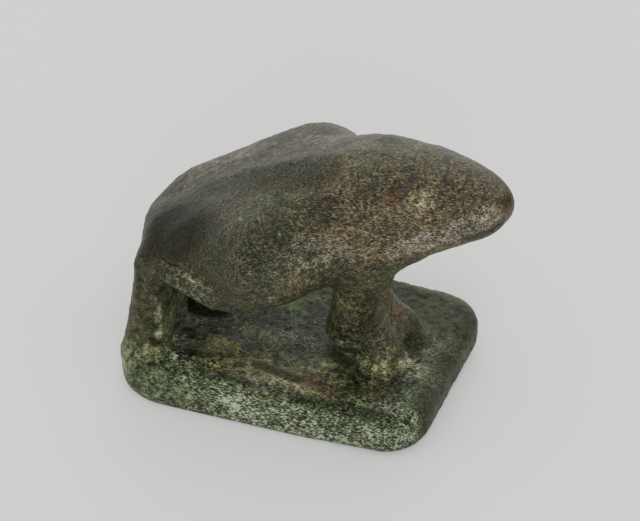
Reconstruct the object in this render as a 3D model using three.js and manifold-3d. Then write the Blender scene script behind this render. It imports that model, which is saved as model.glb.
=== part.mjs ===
// Frog amulet: a small cast bronze frog crouching on its own plinth, one solid casting.
// Millimetres, Z up. The frog faces +X, and the plinth stands on Z = 0 with its middle at the origin.
import * as THREE from 'three';
import { mergeVertices } from 'three/addons/utils/BufferGeometryUtils.js';
import Module from 'manifold-3d';

// Plinth: a rounded rectangular slab, flat underneath.
const plinthLength = 20.7;
const plinthWidth = 14.9;
const plinthThickness = 2.65;
const plinthCornerRadius = 3.7;
const plinthTopRound = 0.95;
const plinthBottomRound = 1.0;
const plinthGroundOff = 0.3; // what the flat underside takes off the rounded bottom

// Frog: its height is measured from the top of the plinth, its width over the knees.
const frogLength = 24.0;
const frogWidth = 15.3;
const frogHeight = 15.6;
const rumpInset = 0.3; // plinth's rear edge to the rump
const sectionFullness = 2.15; // 2 is an ellipse, more is a fuller, squarer section

// Hind legs: a folded thigh and shank, and an upright heel that stands at the plinth's corner.
const hipRadius = 1.6;
const kneeRadius = 2.3;
const shankFrontRadius = 1.0;
const shankRearRadius = 0.72;
const heelRadius = 1.0;
const heelFootRadius = 1.2;
const heelInset = 2.35; // plinth's side to the middle of the heel's foot
const heelSetback = 1.65; // plinth's rear edge to the middle of the heel's foot
const heelWebThickness = 1.7;
const heelWebRound = 0.6;
const heelWebBehind = 1.25; // how far the web goes back from the middle of the heel's top
const heelWebRise = 0.4; // web's top edge above the middle of the heel's top
const heelWebInnerShare = 0.33; // web's inner edge, as a share of the way out to the heel's foot
const hindFootRadius = 0.7;
const hindFootAhead = 0.8; // heel's foot to the rear end of the hind foot, along X
const hindFootInward = 0.9;
const hindFootLift = 0.12; // top of the plinth to the middle of the hind foot's rear end

// Front legs: two close columns under the chest, each with a foot pointing forward.
const frontLegRadius = 1.4;
const frontFootRadius = 1.05;
const frontToeRadius = 0.9;
const instepTopRadius = 1.55; // the instep fills the bend between the leg and the foot
const instepEndRadius = 1.0;

// Fillets where the masses run into each other.
const thighFillet = 3.6;
const legFillet = 1.5;
const webFillet = 1.1;
const footFillet = 0.9;
const foldFillet = 0.45;
const plinthFillet = 0.9;

// Meshing: the size of a facet, and the empty cells kept round the casting.
const facetSize = 0.65;
const marginCells = 2.5;
const trunkCaution = 0.8; // the trunk's tapered sections make its distance read long by about this
const bronze = { color: 0x4d4a35, roughness: 0.62, metalness: 0.35 };

// Trunk and head from rump to snout, as shares of the frog's height and width.
// The stations crowd towards both ends, as equal turns of half a circle do.
const trunk = {
  top: [0.44, 0.5, 0.602, 0.756, 0.896, 0.982, 0.985, 0.93, 0.855],
  belly: [0.44, 0.35, 0.34, 0.342, 0.372, 0.468, 0.645, 0.75, 0.855],
  halfWidth: [0, 0.146, 0.25, 0.318, 0.334, 0.289, 0.2, 0.108, 0],
};

const rumpX = -plinthLength / 2 + rumpInset;

// A point on the frog's left half: shares of its length from the rump, half its width, and its height.
function onFrog(along, aside, up) {
  const x = rumpX + along * frogLength;
  const y = (aside * frogWidth) / 2;
  const z = plinthThickness + up * frogHeight;
  return new THREE.Vector3(x, y, z);
}

// Two distances joined with a rounded inside corner of about the given size.
function blend(a, b, size) {
  const overlap = Math.max(size - Math.abs(a - b), 0) / size;
  return Math.min(a, b) - (overlap * overlap * size) / 4;
}

// Value of a smooth curve through evenly spaced values, at a share from 0 to 1 of the way.
function curveValue(values, share) {
  const last = values.length - 1;
  const place = THREE.MathUtils.clamp(share, 0, 1) * last;
  const i = Math.min(Math.floor(place), last - 1);
  const f = place - i;
  const before = i > 0 ? values[i - 1] : 2 * values[0] - values[1];
  const after = i + 2 <= last ? values[i + 2] : 2 * values[last] - values[last - 1];
  const straight = values[i + 1] - before;
  const bend = 2 * before - 5 * values[i] + 4 * values[i + 1] - after;
  const twist = 3 * values[i] - before - 3 * values[i + 1] + after;
  return values[i] + 0.5 * f * (straight + f * (bend + f * twist));
}

// Distance to the trunk, a loft of squared ellipses along X.
function trunkDistance(p) {
  const thinnest = 0.05;
  const share = THREE.MathUtils.clamp((p.x - rumpX) / frogLength, 0, 1);
  const turn = Math.acos(1 - 2 * share) / Math.PI;
  const top = plinthThickness + frogHeight * curveValue(trunk.top, turn);
  const belly = plinthThickness + frogHeight * curveValue(trunk.belly, turn);
  const halfWidth = Math.max(frogWidth * curveValue(trunk.halfWidth, turn), thinnest);
  const halfHeight = Math.max((top - belly) / 2, thinnest);
  const y = Math.abs(p.y);
  const z = Math.abs(p.z - (top + belly) / 2);
  const reach =
    ((y / halfWidth) ** sectionFullness + (z / halfHeight) ** sectionFullness) ** (1 / sectionFullness);
  const deepest = -Math.min(halfWidth, halfHeight);
  const across = reach > 0 ? Math.max(Math.hypot(y, z) * (1 - 1 / reach), deepest) : deepest;
  const beyond = Math.max(rumpX - p.x, p.x - rumpX - frogLength, 0);
  return Math.hypot(Math.max(across, 0), beyond) + Math.min(across, 0);
}

// A round bar between two points: a ball at each end and the straight skin that touches both.
function bar(start, end, startRadius, endRadius) {
  const axis = end.clone().sub(start);
  const length = axis.length();
  axis.normalize();
  const steepest = 1e-6;
  const lean = (startRadius - endRadius) / length;
  const slant = lean / Math.sqrt(Math.max(1 - lean * lean, steepest));
  return (p) => {
    const offset = p.clone().sub(start);
    const ahead = offset.dot(axis);
    const aside = Math.sqrt(Math.max(offset.lengthSq() - ahead * ahead, 0));
    const share = THREE.MathUtils.clamp((ahead - aside * slant) / length, 0, 1);
    const radius = startRadius + (endRadius - startRadius) * share;
    return Math.hypot(ahead - share * length, aside) - radius;
  };
}

// A block with rounded edges, given by two opposite corners.
function roundedBlock(low, high, rounding) {
  const middle = low.clone().add(high).divideScalar(2);
  const half = high.clone().sub(low).divideScalar(2).subScalar(rounding);
  return (p) => {
    const dx = Math.abs(p.x - middle.x) - half.x;
    const dy = Math.abs(p.y - middle.y) - half.y;
    const dz = Math.abs(p.z - middle.z) - half.z;
    const outside = Math.hypot(Math.max(dx, 0), Math.max(dy, 0), Math.max(dz, 0));
    return outside + Math.min(Math.max(dx, dy, dz), 0) - rounding;
  };
}

// The rounded slab of the plinth goes on a little below Z = 0 and is cut off flat there.
function plinthDistance(p) {
  const middle = (plinthThickness - plinthGroundOff) / 2;
  const half = (plinthThickness + plinthGroundOff) / 2;
  const round = p.z > middle ? plinthTopRound : plinthBottomRound;
  const dx = Math.abs(p.x) - plinthLength / 2 + plinthCornerRadius;
  const dy = Math.abs(p.y) - plinthWidth / 2 + plinthCornerRadius;
  const corner = Math.hypot(Math.max(dx, 0), Math.max(dy, 0));
  const aside = corner + Math.min(Math.max(dx, dy), 0) - plinthCornerRadius + round;
  const away = Math.abs(p.z - middle) - half + round;
  const outside = Math.hypot(Math.max(aside, 0), Math.max(away, 0));
  return outside + Math.min(Math.max(aside, away), 0) - round;
}

// Top and foot of the upright heel, which the web and the hind foot also use.
const heel = onFrog(0.093, 0.54, 0.4);
const heelFoot = new THREE.Vector3(
  -plinthLength / 2 + heelSetback,
  plinthWidth / 2 - heelInset,
  plinthThickness,
);

const thigh = bar(onFrog(0.14, 0.358, 0.424), onFrog(0.403, 0.72, 0.575), hipRadius, kneeRadius);
const shank = bar(
  onFrog(0.33, 0.79, 0.425),
  onFrog(0.125, 0.605, 0.4),
  shankFrontRadius,
  shankRearRadius,
);
const heelPost = bar(heel, heelFoot, heelRadius, heelFootRadius);
const hindFoot = bar(
  new THREE.Vector3(heelFoot.x + hindFootAhead, heelFoot.y - hindFootInward, plinthThickness + hindFootLift),
  onFrog(0.273, 0.45, 0.01),
  hindFootRadius,
  hindFootRadius,
);
const frontLeg = bar(
  onFrog(0.636, 0.27, 0.513),
  onFrog(0.57, 0.118, 0.115),
  frontLegRadius,
  frontLegRadius,
);
const frontFoot = bar(
  onFrog(0.594, 0.082, 0.038),
  onFrog(0.672, 0.17, 0.03),
  frontFootRadius,
  frontToeRadius,
);
const instep = bar(
  onFrog(0.618, 0.17, 0.185),
  onFrog(0.672, 0.14, 0.06),
  instepTopRadius,
  instepEndRadius,
);

// A thin web closes the space between each heel post and the middle of the rump.
const heelWebRear = heel.x - heelWebBehind;
const heelWeb = roundedBlock(
  new THREE.Vector3(heelWebRear, heelFoot.y * heelWebInnerShare, plinthThickness / 2),
  new THREE.Vector3(heelWebRear + heelWebThickness, heelFoot.y, heel.z + heelWebRise),
  heelWebRound,
);

// Signed distance to the whole casting: negative inside the metal.
function castingDistance(point) {
  const p = point.clone();
  p.y = Math.abs(p.y);
  let d = blend(trunkDistance(p) * trunkCaution, thigh(p), thighFillet);
  d = blend(d, shank(p), foldFillet);
  d = blend(d, heelPost(p), footFillet);
  d = blend(d, heelWeb(p), webFillet);
  d = blend(d, frontLeg(p), legFillet);
  d = blend(d, frontFoot(p), footFillet);
  d = blend(d, instep(p), footFillet);
  d = blend(d, hindFoot(p), foldFillet);
  return blend(d, plinthDistance(p), plinthFillet);
}

// A box of grid corners with the distance at each one.
function sampleGrid(distance, low, high, step) {
  const count = high.clone().sub(low).divideScalar(step).ceil().addScalar(1);
  const index = (i, j, k) => (k * count.y + j) * count.x + i;
  const values = new Float64Array(count.x * count.y * count.z);
  for (let k = 0; k < count.z; k++) {
    for (let j = 0; j < count.y; j++) {
      for (let i = 0; i < count.x; i++) {
        const p = new THREE.Vector3(i, j, k).multiplyScalar(step).add(low);
        values[index(i, j, k)] = distance(p);
      }
    }
  }
  return { low, step, count, index, values };
}

// Calls visit with every grid corner that has a neighbour on the far side along each axis.
function eachCell(grid, visit) {
  for (let k = 0; k + 1 < grid.count.z; k++) {
    for (let j = 0; j + 1 < grid.count.y; j++) {
      for (let i = 0; i + 1 < grid.count.x; i++) {
        visit(i, j, k);
      }
    }
  }
}

// Fills corners where the metal would touch itself only along a line or at a point,
// so that the surface through the grid is always one clean skin.
function fillTouches(grid) {
  const { index, values, step } = grid;
  const faces = [
    [[0, 0, 0], [1, 0, 0], [1, 1, 0], [0, 1, 0]],
    [[0, 0, 0], [0, 1, 0], [0, 1, 1], [0, 0, 1]],
    [[0, 0, 0], [1, 0, 0], [1, 0, 1], [0, 0, 1]],
  ];
  const opposites = [
    [[0, 0, 0], [1, 1, 1]],
    [[1, 0, 0], [0, 1, 1]],
    [[0, 1, 0], [1, 0, 1]],
    [[0, 0, 1], [1, 1, 0]],
  ];
  const barelyInside = -0.01 * step;
  let changed = true;
  while (changed) {
    changed = false;
    eachCell(grid, (i, j, k) => {
      const corner = ([a, b, c]) => index(i + a, j + b, k + c);
      for (const face of faces) {
        const [a, b, c, d] = face.map(corner);
        const inside = [a, b, c, d].map((n) => values[n] < 0);
        if (inside[0] === inside[2] && inside[1] === inside[3] && inside[0] !== inside[1]) {
          const empty = inside[0] ? [b, d] : [a, c];
          values[values[empty[0]] < values[empty[1]] ? empty[0] : empty[1]] = barelyInside;
          changed = true;
        }
      }
      const all = opposites.flat().map(corner);
      const solid = all.filter((n) => values[n] < 0).length;
      for (const pair of opposites) {
        const [a, b] = pair.map(corner);
        const alike = values[a] < 0 === values[b] < 0;
        const lonely = alike && solid === (values[a] < 0 ? 2 : 6);
        if (lonely) {
          const empty = all.filter((n) => values[n] >= 0);
          empty.sort((m, n) => values[m] - values[n]);
          values[empty[0]] = barelyInside;
          changed = true;
          break;
        }
      }
    });
  }
}

// Moves a point onto the surface, and no further than the reach given.
function settle(p, distance, reach) {
  const start = p.clone();
  const probe = 0.01;
  const flattest = 0.05;
  const rounds = 3;
  const slope = new THREE.Vector3();
  for (let round = 0; round < rounds; round++) {
    const here = distance(p);
    for (const axis of ['x', 'y', 'z']) {
      const ahead = p.clone();
      ahead[axis] += probe;
      slope[axis] = (distance(ahead) - here) / probe;
    }
    p.addScaledVector(slope, -here / Math.max(slope.lengthSq(), flattest));
  }
  const moved = p.clone().sub(start).clampLength(0, reach);
  return p.copy(start).add(moved);
}

// One closed skin through the grid: a point in each cell that the surface crosses,
// and a four-sided face round each grid edge that it crosses.
function skinOf(grid, distance) {
  const { low, step, index, values } = grid;
  const axes = [[1, 0, 0], [0, 1, 0], [0, 0, 1]];
  const positions = [];
  const pointOf = new Map();
  eachCell(grid, (i, j, k) => {
    const sum = new THREE.Vector3();
    let crossings = 0;
    for (let edge = 0; edge < 12; edge++) {
      const axis = edge >> 2;
      const start = [0, 0, 0];
      start[(axis + 1) % 3] = edge & 1;
      start[(axis + 2) % 3] = (edge >> 1) & 1;
      const end = start.map((value, n) => value + axes[axis][n]);
      const a = values[index(i + start[0], j + start[1], k + start[2])];
      const b = values[index(i + end[0], j + end[1], k + end[2])];
      if (a < 0 === b < 0) continue;
      const crossing = new THREE.Vector3(...start);
      sum.add(crossing.addScaledVector(new THREE.Vector3(...axes[axis]), a / (a - b)));
      crossings++;
    }
    if (crossings === 0) return;
    const p = sum.divideScalar(crossings).add(new THREE.Vector3(i, j, k)).multiplyScalar(step).add(low);
    settle(p, distance, step / 2);
    pointOf.set(index(i, j, k), positions.length / 3);
    positions.push(p.x, p.y, p.z);
  });
  const triangles = [];
  const at = (n) => new THREE.Vector3().fromArray(positions, 3 * n);
  eachCell(grid, (i, j, k) => {
    for (let axis = 0; axis < 3; axis++) {
      const [x, y, z] = axes[axis];
      const startsInside = values[index(i, j, k)] < 0;
      const endsInside = values[index(i + x, j + y, k + z)] < 0;
      if (startsInside === endsInside) continue;
      const back = axes[(axis + 1) % 3];
      const down = axes[(axis + 2) % 3];
      const cell = (m, n) =>
        pointOf.get(index(i - m * back[0] - n * down[0], j - m * back[1] - n * down[1],
          k - m * back[2] - n * down[2]));
      const ring = [cell(1, 1), cell(0, 1), cell(0, 0), cell(1, 0)];
      if (!startsInside) ring.reverse();
      const [a, b, c, d] = ring;
      const cutsAC = at(a).distanceTo(at(c)) < at(b).distanceTo(at(d));
      triangles.push(...(cutsAC ? [a, b, c, a, c, d] : [a, b, d, b, c, d]));
    }
  });
  return { positions, triangles };
}

function solidFromGeometry(wasm, geometry) {
  const bare = geometry.clone();
  bare.deleteAttribute('normal');
  bare.deleteAttribute('uv');
  const merged = mergeVertices(bare);
  return new wasm.Manifold(new wasm.Mesh({
    numProp: 3,
    vertProperties: merged.attributes.position.array,
    triVerts: new Uint32Array(merged.index.array),
  }));
}

function geometryFromSolid(solid) {
  const mesh = solid.getMesh();
  const geometry = new THREE.BufferGeometry();
  geometry.setAttribute('position', new THREE.BufferAttribute(mesh.vertProperties, 3));
  geometry.setIndex(new THREE.BufferAttribute(mesh.triVerts, 1));
  geometry.computeVertexNormals();
  return geometry;
}

// The whole casting, with its underside cut flat at Z = 0.
function castingGeometry(wasm) {
  const margin = marginCells * facetSize;
  const halfLength = Math.max(plinthLength / 2, frogLength + rumpX);
  const halfWidth = Math.max(plinthWidth, frogWidth) / 2 + kneeRadius / 2;
  const low = new THREE.Vector3(
    -plinthLength / 2 - heelFootRadius - margin,
    -halfWidth - margin,
    -plinthGroundOff - margin,
  );
  const high = new THREE.Vector3(
    halfLength + margin,
    halfWidth + margin,
    plinthThickness + frogHeight + kneeRadius / 2 + margin,
  );
  const grid = sampleGrid(castingDistance, low, high, facetSize);
  fillTouches(grid);
  const skin = skinOf(grid, castingDistance);
  const rough = new THREE.BufferGeometry();
  rough.setAttribute('position', new THREE.Float32BufferAttribute(skin.positions, 3));
  rough.setIndex(skin.triangles);
  const size = high.clone().sub(low).addScalar(2 * margin);
  const above = new THREE.BoxGeometry(size.x, size.y, size.z);
  above.translate((low.x + high.x) / 2, 0, size.z / 2);
  return geometryFromSolid(solidFromGeometry(wasm, rough).intersect(solidFromGeometry(wasm, above)));
}

const wasm = await Module();
wasm.setup();

const amulet = new THREE.Group();
const casting = new THREE.Mesh(castingGeometry(wasm), new THREE.MeshStandardMaterial(bronze));
casting.name = 'frog_amulet';
amulet.add(casting);

export default amulet;
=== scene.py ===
import math

import bpy
import numpy as np
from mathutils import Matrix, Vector


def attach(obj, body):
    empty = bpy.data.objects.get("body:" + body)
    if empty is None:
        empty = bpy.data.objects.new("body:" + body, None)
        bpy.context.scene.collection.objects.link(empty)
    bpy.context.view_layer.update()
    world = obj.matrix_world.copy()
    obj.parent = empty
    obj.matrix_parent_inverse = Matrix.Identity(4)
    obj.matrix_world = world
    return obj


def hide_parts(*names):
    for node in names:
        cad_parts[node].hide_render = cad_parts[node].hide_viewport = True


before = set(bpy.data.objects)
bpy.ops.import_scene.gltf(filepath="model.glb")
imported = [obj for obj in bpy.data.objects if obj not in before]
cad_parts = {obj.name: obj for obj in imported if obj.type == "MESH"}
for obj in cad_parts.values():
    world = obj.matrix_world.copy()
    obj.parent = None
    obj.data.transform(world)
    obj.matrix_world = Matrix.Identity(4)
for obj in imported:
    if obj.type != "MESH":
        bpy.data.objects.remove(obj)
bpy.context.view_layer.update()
millimetre = 0.001
tiny = 1e-6
print("Frame loaded")

# Plinth: a rounded slab, flat underneath, whose front corners are sharper in plan and rounder below
plinth = {
    "length": 20.7,
    "width": 14.9,
    "thickness": 2.65,
    "cornerRadius": 3.7,
    "topRound": 0.95,
    "bottomRound": 1.0,
    "groundOff": 0.3,
    "frontSharper": 0.8,
    "frontNarrower": 0.22,
    "frontRounder": 0.5,
    "frontFrom": 2.0,
    "frontTo": 8.0,
}

# Frog: the body's stations run from rump to snout and crowd towards both ends
frog = {
    "length": 24.0,
    "width": 15.3,
    "height": 15.6,
    "rumpInset": 0.3,
    "fullness": 2.15,
    "top": [0.44, 0.5, 0.602, 0.756, 0.896, 0.982, 0.985, 0.93, 0.855],
    "belly": [0.44, 0.35, 0.34, 0.342, 0.372, 0.468, 0.645, 0.745, 0.852],
    "halfWidth": [0, 0.146, 0.25, 0.318, 0.334, 0.289, 0.2, 0.112, 0],
    "thinnest": 0.05,
    "caution": 0.8,
}

# Spine: a low ridge along the middle of the back, which dies out on rump and head
spine = {
    "height": 0.26,
    "spread": 1.5,
    "softness": 0.22,
    "from": -8.6,
    "to": 3.4,
    "fadeBehind": 2.2,
    "fadeAhead": 5.0,
    "lowestShare": 0.5,
    "fullShare": 0.62,
}

# Legs, for the left side: the right side is its mirror image, but both front feet stand a little to the left
legs = {
    "hip": (0.14, 0.358, 0.424),
    "knee": (0.403, 0.72, 0.575),
    "hipRadius": 1.6,
    "kneeRadius": 2.3,
    "kneeLow": (0.335, 0.77, 0.42),
    "kneeLowRadius": 1.05,
    "shankFront": (0.3, 0.785, 0.399),
    "shankFrontRadius": 0.8,
    "shankRear": (0.122, 0.635, 0.442),
    "shankHalfHeight": 0.62,
    "shankHalfThickness": 1.04,
    "shankRounding": 0.3,
    "shankOutward": (0.0, 1.0, 0.12),
    "heel": (0.093, 0.54, 0.4),
    "heelRadius": 1.0,
    "heelFootRadius": 1.2,
    "heelInset": 2.35,
    "heelSetback": 1.65,
    "webThickness": 2.15,
    "webRound": 0.5,
    "webBehind": 1.25,
    "webRise": 0.4,
    "webInnerShare": 0.26,
    "hindFootRadius": 0.6,
    "hindFootAhead": 0.8,
    "hindFootInward": 0.9,
    "hindFootLift": 0.12,
    "hindFootEnd": (0.273, 0.45, 0.01),
    "elbow": (0.636, 0.27, 0.513),
    "wrist": (0.57, 0.118, 0.115),
    "frontLegRadius": 1.4,
    "feetAside": 0.55,
    "frontFootStart": (0.594, 0.082, 0.038),
    "frontFootEnd": (0.68, 0.2, 0.03),
    "frontFootRadius": 1.05,
    "frontToeRadius": 0.9,
    "instepTop": (0.6, 0.1, 0.15),
    "instepEnd": (0.665, 0.17, 0.06),
    "instepTopRadius": 1.35,
    "instepEndRadius": 1.0,
    "betweenTop": (0.6, 0, 0.13),
    "betweenEnd": (0.655, 0, 0.03),
    "betweenRadius": 1.0,
}

# Relief of the skin, placed on the left side and the same on the right: strips from one place to another,
# with spread and height, all in millimetres. A negative height is a groove.
relief = {
    "shoulder": ((4.4, 3.1, 15.9), (4.6, 3.0, 15.9), 1.7, 0.26),
    "rump": ((-6.7, 1.6, 12.6), (-6.5, 2.0, 12.6), 1.6, -0.16),
    "throat": ((8.4, 2.4, 12.6), (8.8, 2.4, 12.6), 1.2, -0.14),
    "haunch": ((-1.4, 5.2, 13.9), (-1.0, 5.2, 13.9), 1.6, 0.1),
    "eye": ((8.5, 2.6, 17.0), (8.9, 2.6, 17.0), 0.5, 0.09),
    "strapGroove": ((-5.8, 5.4, 10.45), (-3.2, 6.8, 10.6), 0.45, -0.13),
    "strapEdgeRear": ((-6.9, 5.6, 10.05), (-4.87, 6.2, 10.0), 0.22, 0.12),
    "strapEdgeFront": ((-4.87, 6.2, 10.0), (-2.9, 7.1, 9.95), 0.22, 0.14),
    "toeKnob": ((6.1, 2.1, 3.5), (6.3, 2.1, 3.5), 0.35, 0.22),
    "footHollow": ((-5.5, 4.3, 2.7), (-3.4, 3.8, 2.7), 0.42, -0.2),
    "footKnob": ((-6.2, 3.0, 2.8), (-6.0, 3.0, 2.8), 0.35, 0.35),
    "rim": ((-6.9, 5.4, 2.6), (-3.6, 5.05, 2.6), 0.25, 0.12),
}

# How softly the masses run into each other
fillets = {
    "thigh": 3.6,
    "knee": 1.2,
    "leg": 1.5,
    "web": 1.1,
    "foot": 0.9,
    "fold": 0.3,
    "crease": 0.2,
    "plinth": 0.9,
}

# Meshing of the casting: the grid's step and room round the frog, and how its points settle on the surface
meshing = {
    "step": 0.15,
    "margin": 0.45,
    "roomAside": 1.2,
    "roomAbove": 0.4,
    "probe": 0.01,
    "rounds": 3,
    "flattest": 0.05,
    "leastMove": 1e-9,
    "settleShare": 0.6,
    "fillShare": 0.01,
}

rumpX = -plinth["length"] / 2 + frog["rumpInset"]


def onFrog(shares):
    # shares of the frog's length from the rump, of half its width, and of its height
    ahead, aside, up = shares
    x = rumpX + ahead * frog["length"]
    y = aside * frog["width"] / 2
    z = plinth["thickness"] + up * frog["height"]
    return np.array([x, y, z])


def blended(a, b, size):
    overlap = np.maximum(size - np.abs(a - b), 0) / size
    return np.minimum(a, b) - overlap * overlap * size / 4


def smoothStep(low, high, value):
    share = np.clip((value - low) / (high - low), 0, 1)
    return share * share * (3 - 2 * share)


def curveValue(values, share):
    last = len(values) - 1
    place = np.clip(share, 0, 1) * last
    i = np.minimum(place.astype(int), last - 1)
    f = place - i
    padded = np.array([2 * values[0] - values[1], *values, 2 * values[-1] - values[-2]])
    a, b, c, d = padded[i], padded[i + 1], padded[i + 2], padded[i + 3]
    return b + 0.5 * f * (c - a + f * (2 * a - 5 * b + 4 * c - d + f * (3 * b - a - 3 * c + d)))


def trunkDistance(p):
    x, y, z = p
    thinnest = frog["thinnest"]
    share = np.clip((x - rumpX) / frog["length"], 0, 1)
    turn = np.arccos(1 - 2 * share) / math.pi
    top = plinth["thickness"] + frog["height"] * curveValue(frog["top"], turn)
    belly = plinth["thickness"] + frog["height"] * curveValue(frog["belly"], turn)
    halfWidth = np.maximum(frog["width"] * curveValue(frog["halfWidth"], turn), thinnest)
    halfHeight = np.maximum((top - belly) / 2, thinnest)
    away = np.abs(z - (top + belly) / 2)
    n = frog["fullness"]
    reach = ((np.abs(y) / halfWidth) ** n + (away / halfHeight) ** n) ** (1 / n)
    deepest = -np.minimum(halfWidth, halfHeight)
    across = np.maximum(np.hypot(y, away) * (1 - 1 / np.maximum(reach, tiny)), deepest)
    beyond = np.maximum(np.maximum(rumpX - x, x - rumpX - frog["length"]), 0)
    return np.hypot(np.maximum(across, 0), beyond) + np.minimum(across, 0)


def spineHeight(p):
    # how far the ridge stands up at each point
    x, y, z = p
    aside = np.sqrt(y * y + spine["softness"] ** 2) - spine["softness"]
    ahead = 1 - smoothStep(spine["to"], spine["to"] + spine["fadeAhead"], x)
    behind = smoothStep(spine["from"], spine["from"] + spine["fadeBehind"], x)
    lowest = plinth["thickness"] + spine["lowestShare"] * frog["height"]
    full = plinth["thickness"] + spine["fullShare"] * frog["height"]
    above = smoothStep(lowest, full, z)
    return spine["height"] * np.exp(-aside / spine["spread"]) * ahead * behind * above


def roundBar(p, start, end, startRadius, endRadius):
    axis = end - start
    length = np.linalg.norm(axis)
    axis = axis / length
    lean = (startRadius - endRadius) / length
    slant = lean / math.sqrt(max(1 - lean * lean, tiny))
    offset = p - start[:, None]
    ahead = axis @ offset
    aside = np.sqrt(np.maximum((offset * offset).sum(0) - ahead * ahead, 0))
    share = np.clip((ahead - aside * slant) / length, 0, 1)
    return np.hypot(ahead - share * length, aside) - startRadius - (endRadius - startRadius) * share


def roundedBox(offsets, halves, rounding):
    away = [np.abs(offset) - half + rounding for offset, half in zip(offsets, halves)]
    outside = np.sqrt(sum(np.maximum(a, 0) ** 2 for a in away))
    return outside + np.minimum(np.maximum(np.maximum(away[0], away[1]), away[2]), 0) - rounding


def flatBar(p, start, end, outward, halfHeight, halfThickness, rounding):
    # a strap with rounded edges, its broad face turned to outward
    along = end - start
    length = np.linalg.norm(along)
    along = along / length
    face = outward - (outward @ along) * along
    face = face / np.linalg.norm(face)
    across = np.cross(along, face)
    offset = p - ((start + end) / 2)[:, None]
    halves = (length / 2 + rounding, halfThickness, halfHeight)
    return roundedBox((along @ offset, face @ offset, across @ offset), halves, rounding)


def plinthDistance(p):
    x, y, z = p
    middle = (plinth["thickness"] - plinth["groundOff"]) / 2
    half = (plinth["thickness"] + plinth["groundOff"]) / 2
    frontShare = smoothStep(-plinth["length"] / 2, plinth["length"] / 2, x)
    cornerShare = smoothStep(plinth["frontFrom"], plinth["frontTo"], x)
    below = plinth["bottomRound"] + plinth["frontRounder"] * cornerShare
    rounding = np.where(z > middle, plinth["topRound"], below)
    radius = plinth["cornerRadius"] - plinth["frontSharper"] * cornerShare
    dx = np.abs(x) - plinth["length"] / 2 + radius
    dy = np.abs(y) - (plinth["width"] / 2 - plinth["frontNarrower"] * frontShare) + radius
    corner = np.hypot(np.maximum(dx, 0), np.maximum(dy, 0))
    aside = corner + np.minimum(np.maximum(dx, dy), 0) - radius + rounding
    away = np.abs(z - middle) - half + rounding
    outside = np.hypot(np.maximum(aside, 0), np.maximum(away, 0))
    return outside + np.minimum(np.maximum(aside, away), 0) - rounding


def castingDistance(p):
    q = np.array([p[0], np.abs(p[1]), p[2]])
    heel = onFrog(legs["heel"])
    heelFoot = np.array([
        -plinth["length"] / 2 + legs["heelSetback"],
        plinth["width"] / 2 - legs["heelInset"],
        plinth["thickness"],
    ])
    thigh = roundBar(q, onFrog(legs["hip"]), onFrog(legs["knee"]), legs["hipRadius"], legs["kneeRadius"])
    d = blended(trunkDistance(q) * frog["caution"], thigh, fillets["thigh"])
    d = d - spineHeight(q)
    shankFront, kneeLow = onFrog(legs["shankFront"]), onFrog(legs["kneeLow"])
    lowerKnee = roundBar(q, shankFront, kneeLow, legs["shankFrontRadius"], legs["kneeLowRadius"])
    d = blended(d, lowerKnee, fillets["knee"])
    shank = flatBar(
        q, shankFront, onFrog(legs["shankRear"]), np.array(legs["shankOutward"]),
        legs["shankHalfHeight"], legs["shankHalfThickness"], legs["shankRounding"],
    )
    d = blended(d, shank, fillets["crease"])
    d = blended(d, roundBar(q, heel, heelFoot, legs["heelRadius"], legs["heelFootRadius"]), fillets["foot"])
    webLow = np.array([heel[0] - legs["webBehind"], heelFoot[1] * legs["webInnerShare"], plinth["thickness"] / 2])
    webHigh = np.array([webLow[0] + legs["webThickness"], heelFoot[1], heel[2] + legs["webRise"]])
    web = roundedBox(q - ((webLow + webHigh) / 2)[:, None], (webHigh - webLow) / 2, legs["webRound"])
    d = blended(d, web, fillets["web"])
    elbow, wrist = onFrog(legs["elbow"]), onFrog(legs["wrist"])
    d = blended(d, roundBar(q, elbow, wrist, legs["frontLegRadius"], legs["frontLegRadius"]), fillets["leg"])
    footStart, footEnd = onFrog(legs["frontFootStart"]), onFrog(legs["frontFootEnd"])
    stance = np.array([p[0], np.abs(p[1] - legs["feetAside"]), p[2]])
    frontFoot = roundBar(stance, footStart, footEnd, legs["frontFootRadius"], legs["frontToeRadius"])
    d = blended(d, frontFoot, fillets["foot"])
    instepTop, instepEnd = onFrog(legs["instepTop"]), onFrog(legs["instepEnd"])
    instep = roundBar(stance, instepTop, instepEnd, legs["instepTopRadius"], legs["instepEndRadius"])
    d = blended(d, instep, fillets["foot"])
    betweenTop, betweenEnd = onFrog(legs["betweenTop"]), onFrog(legs["betweenEnd"])
    between = roundBar(stance, betweenTop, betweenEnd, legs["betweenRadius"], legs["betweenRadius"])
    d = blended(d, between, fillets["foot"])
    hindStart = heelFoot + [legs["hindFootAhead"], -legs["hindFootInward"], legs["hindFootLift"]]
    hindEnd = onFrog(legs["hindFootEnd"])
    hindFoot = roundBar(q, hindStart, hindEnd, legs["hindFootRadius"], legs["hindFootRadius"])
    d = blended(d, hindFoot, fillets["fold"])
    d = blended(d, plinthDistance(q), fillets["plinth"])
    for start, end, spread, height in relief.values():
        away = roundBar(q, np.array(start, float), np.array(end, float), 0, 0)
        d = d - height * np.exp(-away * away / (2 * spread * spread))
    return np.maximum(d, -p[2])


def slopeAt(p, distance):
    # how the distance changes at each point, and the distance itself
    here = distance(p)
    slope = np.empty_like(p)
    for n in range(3):
        ahead = p.copy()
        ahead[n] += meshing["probe"]
        slope[n] = (distance(ahead) - here) / meshing["probe"]
    return slope, here


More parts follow.
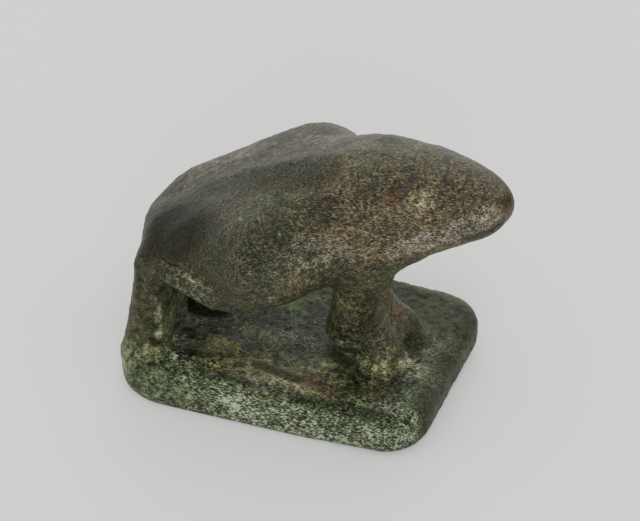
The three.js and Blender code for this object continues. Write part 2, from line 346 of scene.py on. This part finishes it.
def settled(p, distance, reach):
    # moves points onto the surface, and no further than reach
    start = p.copy()
    for _ in range(meshing["rounds"]):
        slope, here = slopeAt(p, distance)
        p = p - slope * here / np.maximum((slope * slope).sum(0), meshing["flattest"])
    moved = p - start
    far = np.maximum(np.sqrt((moved * moved).sum(0)), meshing["leastMove"])
    return start + moved * np.minimum(reach / far, 1)


def shifted(field, steps, count):
    # the part of a grid that starts some cells along each axis
    return field[tuple(slice(s, s + n) for s, n in zip(steps, count))]


def fillTouches(values, step):
    # fills corners where the metal would touch itself only along a line, so that the skin stays clean
    count = [n - 1 for n in values.shape]
    corners = list(np.ndindex(2, 2, 2))
    faces = [
        ((0, 0, 0), (1, 0, 0), (1, 1, 0), (0, 1, 0)),
        ((0, 0, 0), (0, 1, 0), (0, 1, 1), (0, 0, 1)),
        ((0, 0, 0), (1, 0, 0), (1, 0, 1), (0, 0, 1)),
    ]
    opposites = [
        ((0, 0, 0), (1, 1, 1)),
        ((1, 0, 0), (0, 1, 1)),
        ((0, 1, 0), (1, 0, 1)),
        ((0, 0, 1), (1, 1, 0)),
    ]
    while True:
        inside = values < 0
        at = {c: shifted(inside, c, count) for c in corners}
        solid = sum(at[c].astype(int) for c in corners)
        fill = np.zeros(values.shape, bool)
        for a, b, c, e in faces:
            bad = (at[a] == at[c]) & (at[b] == at[e]) & (at[a] != at[b])
            for corner in (a, b, c, e):
                shifted(fill, corner, count)[bad] = True
        for a, b in opposites:
            bad = (at[a] & at[b] & (solid == 2)) | (~at[a] & ~at[b] & (solid == 6))
            for corner in corners:
                shifted(fill, corner, count)[bad] = True
        fill &= ~inside
        if not fill.any():
            return values
        values[fill] = -meshing["fillShare"] * step


def skinOf(distance, low, high, step):
    # one point in each cell that the surface crosses, and a four-sided face round each crossed edge
    shape = np.ceil((high - low) / step).astype(int) + 1
    across = [low[n] + step * np.arange(shape[n]) for n in range(3)]
    y, z = np.meshgrid(across[1], across[2], indexing="ij")
    values = np.empty(shape)
    for i, x in enumerate(across[0]):
        layer = np.array([np.full(y.size, x), y.ravel(), z.ravel()])
        values[i] = distance(layer).reshape(y.shape)
    values = fillTouches(values, step)
    cells = [n - 1 for n in shape]
    total = np.zeros((3, *cells))
    crossings = np.zeros(cells)
    for axis in range(3):
        for first in (0, 1):
            for second in (0, 1):
                start = [0, 0, 0]
                start[(axis + 1) % 3] = first
                start[(axis + 2) % 3] = second
                end = start.copy()
                end[axis] = 1
                a, b = shifted(values, start, cells), shifted(values, end, cells)
                crossed = (a < 0) != (b < 0)
                share = np.where(crossed, a / np.where(crossed, a - b, 1), 0)
                for n in range(3):
                    total[n] += crossed * (share if n == axis else start[n])
                crossings += crossed
    used = crossings > 0
    number = np.full(cells, -1)
    number[used] = np.arange(used.sum())
    p = (total[:, used] / crossings[used] + np.array(np.nonzero(used))) * step + low[:, None]
    p = settled(p, distance, meshing["settleShare"] * step)
    quads = []
    for axis in range(3):
        start = [1, 1, 1]
        start[axis] = 0
        room = [n - s for n, s in zip(cells, start)]
        end = start.copy()
        end[axis] = 1
        a = shifted(values, start, room) < 0
        b = shifted(values, end, room) < 0
        at = np.array(np.nonzero(a != b)) + np.array(start)[:, None]
        back, down = (axis + 1) % 3, (axis + 2) % 3
        ring = []
        for m, n in ((1, 1), (0, 1), (0, 0), (1, 0)):
            cell = at.copy()
            cell[back] -= m
            cell[down] -= n
            ring.append(number[tuple(cell)])
        ring = np.array(ring).T
        leaving = a[a != b]
        ring[~leaving] = ring[~leaving][:, ::-1]
        quads.append(ring)
    return p, np.concatenate(quads)


def makeMesh(name, points, quads):
    mesh = bpy.data.meshes.new(name)
    mesh.from_pydata((points.T * millimetre).tolist(), [], quads.tolist())
    mesh.validate()
    mesh.update()
    piece = bpy.data.objects.new(name, mesh)
    bpy.context.scene.collection.objects.link(piece)
    return piece


roomAside = frog["width"] / 2 + meshing["roomAside"]
roomAbove = plinth["thickness"] + frog["height"] + meshing["roomAbove"]
reachLow = np.array([-plinth["length"] / 2, -roomAside, 0]) - meshing["margin"]
reachHigh = np.array([rumpX + frog["length"], roomAside, roomAbove]) + meshing["margin"]
castingPoints, castingQuads = skinOf(castingDistance, reachLow, reachHigh, meshing["step"])
castingPoints[2] = np.maximum(castingPoints[2], 0)
casting = makeMesh("casting", castingPoints, castingQuads)
print("Casting made:", castingQuads.shape[0], "faces")


# Weathering: lumps, pits and grain that follow the skin of the casting
weathering = {
    "lumpSize": 1.6,
    "lumpHeight": 0.05,
    "pitSize": 0.42,
    "pitDepth": 0.06,
    "grainSize": 0.22,
    "grainHeight": 0.03,
    "detail": 2.0,
    "seed": 7,
}


def addNode(tree, kind, inputs=None, **settings):
    node = tree.nodes.new(kind)
    for name, value in settings.items():
        setattr(node, name, value)
    for name, value in (inputs or {}).items():
        socket = node.inputs[name]
        if isinstance(value, bpy.types.NodeSocket):
            tree.links.new(value, socket)
        else:
            socket.default_value = value
    return node


def combine(tree, operation, a, b=None, c=None):
    values = {n: v for n, v in enumerate((a, b, c)) if v is not None}
    return addNode(tree, "ShaderNodeMath", values, operation=operation).outputs[0]


def newTree(name, inputs):
    tree = bpy.data.node_groups.new(name, "GeometryNodeTree")
    tree.interface.new_socket("Geometry", in_out="INPUT", socket_type="NodeSocketGeometry")
    for label, kind, value in inputs:
        socket = tree.interface.new_socket(label, in_out="INPUT", socket_type=kind)
        if value is not None:
            socket.default_value = value
    tree.interface.new_socket("Geometry", in_out="OUTPUT", socket_type="NodeSocketGeometry")
    return tree, tree.nodes.new("NodeGroupInput"), tree.nodes.new("NodeGroupOutput")


def noiseAt(tree, size, seed):
    # a noise between about -1 and 1 whose features are as large as size, in metres
    stretch = 4.0
    values = {"Scale": combine(tree, "DIVIDE", 1.0, size), "W": seed, "Detail": weathering["detail"]}
    noise = addNode(tree, "ShaderNodeTexNoise", values, noise_dimensions="4D")
    return combine(tree, "MULTIPLY_ADD", noise.outputs[0], stretch, -stretch / 2)


def weatheringTree():
    labels = [
        ("Lump size", "lumpSize"),
        ("Lump height", "lumpHeight"),
        ("Pit size", "pitSize"),
        ("Pit depth", "pitDepth"),
        ("Grain size", "grainSize"),
        ("Grain height", "grainHeight"),
    ]
    inputs = [(label, "NodeSocketFloat", weathering[key] * millimetre) for label, key in labels]
    inputs.append(("Seed", "NodeSocketFloat", float(weathering["seed"])))
    inputs.append(("Material", "NodeSocketMaterial", None))
    tree, start, end = newTree("weathering", inputs)
    value = start.outputs
    lumps = combine(tree, "MULTIPLY", noiseAt(tree, value["Lump size"], value["Seed"]), value["Lump height"])
    pits = combine(tree, "MINIMUM", noiseAt(tree, value["Pit size"], value["Seed"]), 0.0)
    pits = combine(tree, "MULTIPLY", pits, value["Pit depth"])
    grain = combine(tree, "MULTIPLY", noiseAt(tree, value["Grain size"], value["Seed"]), value["Grain height"])
    rough = addNode(tree, "GeometryNodeInputNamedAttribute", {"Name": "rough"}, data_type="FLOAT").outputs[0]
    fine = combine(tree, "MULTIPLY", combine(tree, "ADD", pits, grain), rough)
    height = combine(tree, "ADD", lumps, fine)
    clear = addNode(tree, "GeometryNodeInputNamedAttribute", {"Name": "clear"}, data_type="FLOAT").outputs[0]
    height = combine(tree, "MULTIPLY", height, clear)
    normal = addNode(tree, "GeometryNodeInputNormal").outputs[0]
    push = addNode(tree, "ShaderNodeVectorMath", {0: normal, "Scale": height}, operation="SCALE").outputs[0]
    moved = addNode(tree, "GeometryNodeSetPosition", {"Geometry": value["Geometry"], "Offset": push})
    real = addNode(tree, "GeometryNodeRealizeInstances", {"Geometry": moved.outputs[0]})
    coated = {"Geometry": real.outputs[0], "Material": value["Material"]}
    coat = addNode(tree, "GeometryNodeSetMaterial", coated)
    tree.links.new(coat.outputs[0], end.inputs[0])
    return tree


def applyTree(piece, tree, values):
    # runs a tree on a piece and keeps the result as a plain mesh
    modifier = piece.modifiers.new(tree.name, "NODES")
    modifier.node_group = tree
    for item in tree.interface.items_tree:
        if item.item_type == "SOCKET" and item.in_out == "INPUT" and item.name in values:
            modifier[item.identifier] = values[item.name]
    graph = bpy.context.evaluated_depsgraph_get()
    graph.update()
    result = bpy.data.meshes.new_from_object(piece.evaluated_get(graph), depsgraph=graph)
    piece.modifiers.remove(modifier)
    return result


# Patches of patina, with painted sheen, highlights and shade among them: strips from one place to another, in
# millimetres, with radius and strength.
# The camera's side is towards -Y.
patches = {
    "head": [((5, -3, 15.5), (12, -1, 16), 4.5, 0.9), ((5, 3, 15.5), (12, 1, 16), 4.5, 0.9),
             ((-1, -6, 10), (2, -5.5, 11.5), 1.8, 0.8), ((3.5, -2, 8), (5, -2, 6), 2.0, 0.6)],
    # Painted sheen and highlights: along the jaw, on both flanks, and in a band on the back beyond the ridge
    "paintedSheen": [((1.6, -5.6, 13.2), (5.0, -4.2, 13.4), 1.6, 0.5),
             ((7.8, -4.0, 13.9), (13.0, -1.6, 16.3), 1.0, 0.8),
             ((1.6, 5.6, 13.2), (5.0, 4.2, 13.4), 1.6, 0.6), ((7.8, 4.0, 13.9), (13.0, 1.6, 16.3), 1.0, 0.8),
             ((-7, 2.4, 12.3), (4, 2.6, 16.6), 2.8, 0.55)],
    "green": [((-9, -7, 1.4), (9, -7, 1.4), 2.6, 1.0), ((-9, 7, 1.4), (9, 7, 1.4), 2.6, 1.0),
              ((10, -5, 1.4), (10, 5, 1.4), 3.2, 0.9), ((-3, -2.5, 2.6), (3, -2.5, 2.6), 3.0, 0.8),
              ((-3, 3, 2.6), (3, 3, 2.6), 4.0, 0.8), ((-5.2, -5.9, 9.2), (-3.8, -6.4, 9.2), 1.1, 0.5),
              ((-6.8, -4, 4), (-6.6, -3, 8), 1.8, 0.9), ((5, 4.5, 2.6), (9, 4, 2.6), 2.6, 0.9),
              ((-6.8, -2.5, 2.7), (-6.8, 2.5, 5), 2.2, 0.9)],
    "tan": [((-3.6, -4.6, 2.6), (3.4, -4.6, 2.6), 1.8, 0.8), ((0.5, -3.2, 2.6), (2.6, -3.0, 2.6), 1.2, 0.6),
            ((7.8, -1.2, 2.6), (9.5, -1.7, 2.5), 1.1, 0.7),
            ((4.4, -3.2, 2.8), (6.4, -2.8, 3.0), 1.3, 0.5), ((-9, -6.4, 1.6), (-8, -6.6, 2.6), 1.6, 0.4),
            ((8.5, -2.6, 17.3), (9.1, -2.5, 17.2), 1.1, 0.5)],
    "pale": [((6.9, -0.6, 2.7), (8.9, -1.6, 2.6), 0.8, 0.65), ((3.6, -3.8, 2.6), (4.8, -3.6, 2.6), 0.8, 0.4),
             ((-6.9, -5.4, 2.7), (-4.0, -5.05, 2.7), 0.22, 0.6),
             ((-7.4, -5.5, 4.0), (-7.4, -5.4, 7.2), 0.35, 0.5),
             ((-6.1, -3.1, 2.9), (-5.9, -3.1, 2.9), 0.4, 0.8),
             # these two strips are a painted highlight along the strap's upper edge
             ((-6.9, -5.65, 10.1), (-4.9, -6.3, 10.1), 0.3, 0.5),
             ((-4.9, -6.3, 10.1), (-2.9, -7.2, 10.0), 0.3, 0.5),
             ((-6.9, -2.2, 5.2), (-6.9, -2.0, 6.0), 0.5, 0.5)],
    "rust": [((7.0, -2.9, 17.0), (7.3, -2.7, 17.1), 1.1, 0.7),
             ((13.9, -0.3, 16.2), (13.7, 0.3, 16.7), 0.8, 0.8),
             ((0.6, -6.9, 11.2), (1.4, -6.6, 11.4), 1.0, 0.6),
             ((-7.9, -1.6, 14.2), (-6.9, -2.0, 14.6), 1.2, 0.5),
             ((2.4, -4.6, 2.6), (3.8, -5.1, 2.6), 1.0, 0.6), ((5.6, 0.6, 6.6), (6.6, 1.0, 4.6), 1.0, 0.5)],
    # Painted shade: on the rump, the upper back and the haunch, under the jaw, at the snout, in the gaps under
    # the rump and between the front feet, beside the hind foot, on the plinth's front, far top and edges, and in
    # the crease above the strap
    "shade": [((10.4, -4, 1.4), (10.4, 6, 1.4), 2.6, 0.65), ((5, 4.6, 2.6), (9, 4.2, 2.6), 2.8, 0.5),
              ((-9.2, -3.6, 11.6), (-6.4, -5, 13), 3.6, 0.75),
              ((-6, -0.8, 13.6), (2.5, -1.6, 16.6), 1.8, 0.5),
              ((-5, -5, 12.5), (-2, -6.4, 11), 2.8, 0.5), ((7.4, 0.9, 2.9), (7.8, 1.5, 2.7), 1.0, 0.6),
              ((-1.2, -4.3, 2.6), (1.6, -4.8, 2.6), 0.6, 0.6), ((2.2, -6.5, 2.4), (9.5, -6.3, 2.4), 0.7, 0.6),
              ((9.8, 0.0, 2.4), (10.0, 0.2, 2.4), 0.5, 0.5), ((-5.6, -4.3, 2.8), (-3.2, -3.8, 2.7), 0.7, 0.6),
              ((-7.2, -0.2, 2.7), (-5.6, 0, 2.7), 1.3, 1.1), ((-7.5, -0.6, 6.8), (-6.0, 0.6, 6.8), 2.8, 1.1),
              ((12.0, -2.2, 14.7), (13.4, -1.1, 15.2), 0.7, 0.62),
              ((13.9, -0.6, 16.9), (13.9, 0.6, 16.9), 0.8, 0.6),
              ((-6.0, -5.3, 10.8), (-3.2, -6.7, 10.9), 0.7, 0.45)],
    "smooth": [((-8.4, -6, 3), (-8.2, -5, 9), 2.4, 0.5), ((-9.5, -6, 1.5), (-7, -7, 1.5), 2.2, 0.4),
               ((-9, -3, 12), (-6.5, -4, 13), 3.2, 0.5), ((4, 5, 2.6), (9.5, 4.5, 2.6), 3.2, 0.7),
               ((-6, 4, 2.6), (4, 4.5, 2.6), 4.0, 0.7), ((10.4, -3, 1.5), (10.4, 6, 1.5), 2.2, 0.4),
               ((-7, 2.4, 13), (4, 3.2, 16.6), 2.4, 0.45), ((-5, -3.5, 2.7), (4, -3.5, 2.7), 2.0, 0.45)],
    "grit": [((-8, -7, 1.6), (9.5, -7, 1.6), 3.0, 1.0), ((-8, 7.4, 1), (9.5, 7.4, 1), 2.0, 1.0),
             ((9.5, -6, 1.6), (8.5, -4, 2.6), 2.0, 0.8), ((-3, -5.4, 2.6), (5, -5.4, 2.6), 1.6, 0.8)],
    "mint": [((-6.6, -5.9, 2.2), (-2, -6.9, 1.4), 1.6, 0.42), ((-1, -7.2, 1.2), (10, -6.9, 1.2), 1.5, 0.6),
             ((7.7, -5.3, 2.4), (9.2, -5.7, 2.3), 0.9, 0.7), ((10, 2.0, 2.4), (10.2, 3.2, 2.4), 1.2, 0.4),
             ((-5, 7, 1.6), (6, 7, 1.6), 1.4, 0.6)],
}


# Fields on the skin: how far to look for hollows and creases, and where roughness and patches begin and end
fields = {
    "reaches": {"hollow": 1.1, "crease": 0.35},
    "plinthBelow": 0.2,
    "plinthAbove": 1.4,
    "frogRoughness": 0.6,
    "plinthRoughness": 1.2,
    "clearFrom": 0.02,
    "clearTo": 0.5,
    "patchCore": 0.4,
    "patchReach": 1.2,
}


def storeField(piece, name, values):
    field = piece.data.attributes.new(name, "FLOAT", "POINT")
    field.data.foreach_set("value", values.astype(np.float32))


def storeFields(piece, p):
    slope, _ = slopeAt(p, castingDistance)
    normal = slope / np.maximum(np.sqrt((slope * slope).sum(0)), tiny)
    for name, reach in fields["reaches"].items():
        room = castingDistance(p + normal * reach) / reach
        storeField(piece, name, np.clip(1 - room, 0, 1))
    plinthTop = plinth["thickness"]
    onPlinth = 1 - smoothStep(plinthTop - fields["plinthBelow"], plinthTop + fields["plinthAbove"], p[2])
    rougher = fields["plinthRoughness"] - fields["frogRoughness"]
    storeField(piece, "rough", fields["frogRoughness"] + rougher * onPlinth)
    storeField(piece, "clear", smoothStep(fields["clearFrom"], fields["clearTo"], p[2]))
    for name, spots in patches.items():
        field = np.zeros(p.shape[1])
        for near, far, radius, strength in spots:
            away = roundBar(p, np.array(near, float), np.array(far, float), 0, 0)
            faded = smoothStep(fields["patchCore"] * radius, fields["patchReach"] * radius, away)
            field = np.maximum(field, strength * (1 - faded))
        storeField(piece, name, field)


storeFields(casting, castingPoints)
print("Patina fields stored")


# Patina: one colour in linear light for each finish, painted sheen and painted shade among them, and layers of
# noise with sizes in millimetres
patina = {
    "finishes": {
        "metal": (0.018, 0.019, 0.0095),
        "head": (0.03, 0.0255, 0.0135),
        # the colour of the painted sheen
        "paintedSheen": (0.05, 0.044, 0.035),
        "green": (0.034, 0.044, 0.024),
        "tan": (0.066, 0.065, 0.035),
        "pale": (0.1, 0.108, 0.072),
        "rust": (0.028, 0.016, 0.009),
        # the colour of painted shade, for the shade patches, hollows and creases
        "shade": (0.006, 0.006, 0.003),
        "mint": (0.27, 0.32, 0.23),
    },
    "tints": {"warm": (1.1, 0.98, 0.86), "cool": (0.9, 1.03, 0.94)},
    "layers": {
        "grain": {"size": 0.085, "detail": 2.0, "seed": 0.0},
        "cluster": {"size": 0.42, "detail": 3.0, "seed": 2.0},
        "cloud": {"size": 2.2, "detail": 3.0, "seed": 5.0},
        "vein": {"size": 0.26, "detail": 1.0, "seed": 8.0},
        "tint": {"size": 0.3, "detail": 2.0, "seed": 11.0},
    },
    "grainDrawn": (0.4, 1.0, 1.0),
    "veinWidth": 0.045,
    "veinShare": 0.08,
    "level": 1.02,
    "darkest": 0.38,
    "steepness": 2.2,
    "contrast": 4.6,
    "headContrast": -0.2,
    "gritContrast": 0.3,
    "mottle": 0.45,
    "gritMottle": 0.05,
    "cloudShare": 0.3,
    "border": {"cloud": 0.9, "cluster": 0.7, "from": 0.2, "to": 1.0},
    "tintRamp": (0.4, 0.6),
    "mintRamp": (0.04, 0.16),
    "hollowRamp": (0.4, 0.95),
    "hollowCalm": 0.6,
    # how far hollows and creases are painted towards the shade colour, as painted shade
    "hollowDark": 0.6,
    "creaseRamp": (0.3, 0.9),
    "creaseDark": 0.45,
    "dullness": 0.8,
    "roughness": 0.46,
    "roughnessSwing": 0.3,
    "specular": 0.2,
    "metallic": 0.05,
    "bumpDepth": 0.12,
}


def patinaMaterial():
    finishes = patina["finishes"]
    material = bpy.data.materials.new("bronzePatina")
    material.use_nodes = True
    tree = material.node_tree
    tree.nodes.clear()
    place = addNode(tree, "ShaderNodeTexCoord").outputs["Object"]

    def noise(name, vector=place):
        layer = patina["layers"][name]
        values = {
            "Vector": vector,
            "Scale": 1 / (layer["size"] * millimetre),
            "Detail": layer["detail"],
            "W": layer["seed"],
        }
        return addNode(tree, "ShaderNodeTexNoise", values, noise_dimensions="4D").outputs[0]

    def field(name):
        return addNode(tree, "ShaderNodeAttribute", attribute_name=name).outputs["Fac"]

    def ramp(value, low, high):
        values = {"Value": value, "From Min": low, "From Max": high, "To Min": 0.0, "To Max": 1.0}
        return addNode(tree, "ShaderNodeMapRange", values, interpolation_type="SMOOTHSTEP").outputs[0]

    def mixed(share, a, b, blend="MIX"):
        node = addNode(tree, "ShaderNodeMix", {0: share}, data_type="RGBA", blend_type=blend)
        for socket, value in ((node.inputs[6], a), (node.inputs[7], b)):
            if isinstance(value, bpy.types.NodeSocket):
                tree.links.new(value, socket)
            else:
                socket.default_value = (*value, 1)
        return node.outputs[2]

    def swing(value, amount, rest):
        # rest, moved up and down by how far a noise is from its middle
        return combine(tree, "MULTIPLY_ADD", combine(tree, "SUBTRACT", value, 0.5), amount, rest)

    stretched = {0: place, 1: patina["grainDrawn"]}
    drawn = addNode(tree, "ShaderNodeVectorMath", stretched, operation="MULTIPLY").outputs[0]
    grain, cluster, cloud = noise("grain", drawn), noise("cluster"), noise("cloud")
    vein = combine(tree, "ABSOLUTE", combine(tree, "SUBTRACT", noise("vein"), 0.5))
    worn = combine(tree, "MULTIPLY", ramp(vein, patina["veinWidth"], 0.0), patina["veinShare"])

    def spread(name):
        # a patch whose border is broken up by the clouds and clusters
        border = patina["border"]
        uneven = swing(cloud, border["cloud"], swing(cluster, border["cluster"], field(name)))
        return ramp(uneven, border["from"], border["to"])

    # the mid colour of each place, with painted sheen and painted shade laid in
    head = spread("head")
    colour = mixed(head, finishes["metal"], finishes["head"])
    for name in ("green", "tan", "paintedSheen", "pale", "rust"):
        colour = mixed(spread(name), colour, finishes[name])
    # painted shade from the shade patches
    shaded = spread("shade")
    colour = mixed(shaded, colour, finishes["shade"])
    tint = mixed(ramp(noise("tint"), *patina["tintRamp"]), patina["tints"]["cool"], patina["tints"]["warm"])
    colour = mixed(1.0, colour, tint, "MULTIPLY")

    # grain and mottling, calmer in hollows and where the skin is smooth
    hollow = ramp(field("hollow"), *patina["hollowRamp"])
    grit = spread("grit")
    still = combine(tree, "MAXIMUM", combine(tree, "MULTIPLY", hollow, patina["hollowCalm"]), field("smooth"))
    calm = combine(tree, "SUBTRACT", 1.0, still)
    fine = combine(tree, "MULTIPLY", swing(grain, 1.0, worn), calm)
    mottle = combine(tree, "MULTIPLY_ADD", grit, patina["gritMottle"], patina["mottle"])
    broken = swing(cluster, mottle, swing(cloud, patina["cloudShare"], fine))
    contrast = combine(tree, "MULTIPLY_ADD", head, patina["headContrast"], patina["contrast"])
    contrast = combine(tree, "MULTIPLY_ADD", grit, patina["gritContrast"], contrast)
    light = combine(tree, "MULTIPLY_ADD", broken, contrast, patina["level"])
    tone = combine(tree, "POWER", combine(tree, "MAXIMUM", light, patina["darkest"]), patina["steepness"])
    colour = addNode(tree, "ShaderNodeVectorMath", {0: colour, "Scale": tone}, operation="SCALE").outputs[0]

    # mint flecks, and painted shade in hollows and creases
    mintFleck = combine(tree, "MULTIPLY", spread("mint"), ramp(broken, *patina["mintRamp"]))
    colour = mixed(mintFleck, colour, finishes["mint"])
    colour = mixed(combine(tree, "MULTIPLY", hollow, patina["hollowDark"]), colour, finishes["shade"])
    creaseShade = combine(tree, "MULTIPLY", ramp(field("crease"), *patina["creaseRamp"]), patina["creaseDark"])
    colour = mixed(creaseShade, colour, finishes["shade"])

    bump = addNode(tree, "ShaderNodeBump", {
        "Height": broken,
        "Distance": patina["bumpDepth"] * millimetre,
        "Strength": 1.0,
    })
    dull = combine(tree, "MAXIMUM", combine(tree, "MAXIMUM", still, shaded), creaseShade)
    sheen = combine(tree, "MULTIPLY_ADD", dull, -patina["dullness"], 1.0)
    shader = addNode(tree, "ShaderNodeBsdfPrincipled", {
        "Base Color": colour,
        "Roughness": swing(cluster, patina["roughnessSwing"], patina["roughness"]),
        "Normal": bump.outputs[0],
        "Metallic": patina["metallic"],
        "Specular IOR Level": combine(tree, "MULTIPLY", sheen, patina["specular"]),
    })
    output = addNode(tree, "ShaderNodeOutputMaterial")
    tree.links.new(shader.outputs[0], output.inputs[0])
    return material


casting.data = applyTree(casting, weatheringTree(), {"Material": patinaMaterial()})
casting.data.shade_smooth()
print("Weathering done")

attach(casting, "root")
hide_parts("frog_amulet")

# Stage, lights and camera, in metres
stage = {
    "floorSize": 3.0,
    "floorColour": (0.8, 0.79, 0.785, 1),
    "floorRoughness": 0.7,
    "horizonColour": (1.0, 0.99, 0.98),
    "zenithColour": (0.62, 0.62, 0.61),
    "skyStrength": 2.0,
}
lights = {
    "front": {"place": (0.14, -0.44, 0.16), "size": 0.25, "power": 1.7},
    "behind": {"place": (-0.1, 0.5, 0.25), "size": 0.4, "power": 0.8},
}
view = {
    "aim": (0.00099, 0.001113, 0.007546),
    "towards": (0.275, -0.735, 0.62),
    "distance": 0.3,
    "lens": 268.3,
    "sensorWidth": 36,
    "clipStart": 0.01,
}


def makeFloor():
    half = stage["floorSize"] / 2
    corners = [(-half, -half, 0), (half, -half, 0), (half, half, 0), (-half, half, 0)]
    mesh = bpy.data.meshes.new("floor")
    mesh.from_pydata(corners, [], [(0, 1, 2, 3)])
    floor = bpy.data.objects.new("floor", mesh)
    bpy.context.scene.collection.objects.link(floor)
    material = bpy.data.materials.new("paleFloor")
    material.use_nodes = True
    shader = material.node_tree.nodes["Principled BSDF"]
    shader.inputs["Base Color"].default_value = stage["floorColour"]
    shader.inputs["Roughness"].default_value = stage["floorRoughness"]
    mesh.materials.append(material)


def makeLight(name, place, size, power):
    data = bpy.data.lights.new(name, "AREA")
    data.energy = power
    data.size = size
    lamp = bpy.data.objects.new(name, data)
    bpy.context.scene.collection.objects.link(lamp)
    lamp.location = place
    lamp.rotation_euler = (Vector(place) - Vector(view["aim"])).to_track_quat("Z", "Y").to_euler()


def makeCamera():
    data = bpy.data.cameras.new("camera")
    data.lens = view["lens"]
    data.sensor_width = view["sensorWidth"]
    data.clip_start = view["clipStart"]
    camera = bpy.data.objects.new("camera", data)
    bpy.context.scene.collection.objects.link(camera)
    towards = Vector(view["towards"]).normalized()
    camera.location = Vector(view["aim"]) + towards * view["distance"]
    camera.rotation_euler = towards.to_track_quat("Z", "Y").to_euler()
    bpy.context.scene.camera = camera


def makeSky():
    # an even white surround, a little darker overhead
    world = bpy.data.worlds.new("studio")
    world.use_nodes = True
    tree = world.node_tree
    direction = addNode(tree, "ShaderNodeTexCoord").outputs["Generated"]
    height = addNode(tree, "ShaderNodeSeparateXYZ", {0: direction}).outputs["Z"]
    sky = addNode(tree, "ShaderNodeMix", {0: height}, data_type="RGBA")
    sky.inputs[6].default_value = (*stage["horizonColour"], 1)
    sky.inputs[7].default_value = (*stage["zenithColour"], 1)
    background = tree.nodes["Background"]
    tree.links.new(sky.outputs[2], background.inputs[0])
    background.inputs[1].default_value = stage["skyStrength"]
    bpy.context.scene.world = world


makeSky()
makeFloor()
for name, values in lights.items():
    makeLight(name, **values)
makeCamera()
print("Stage, lights and camera ready")
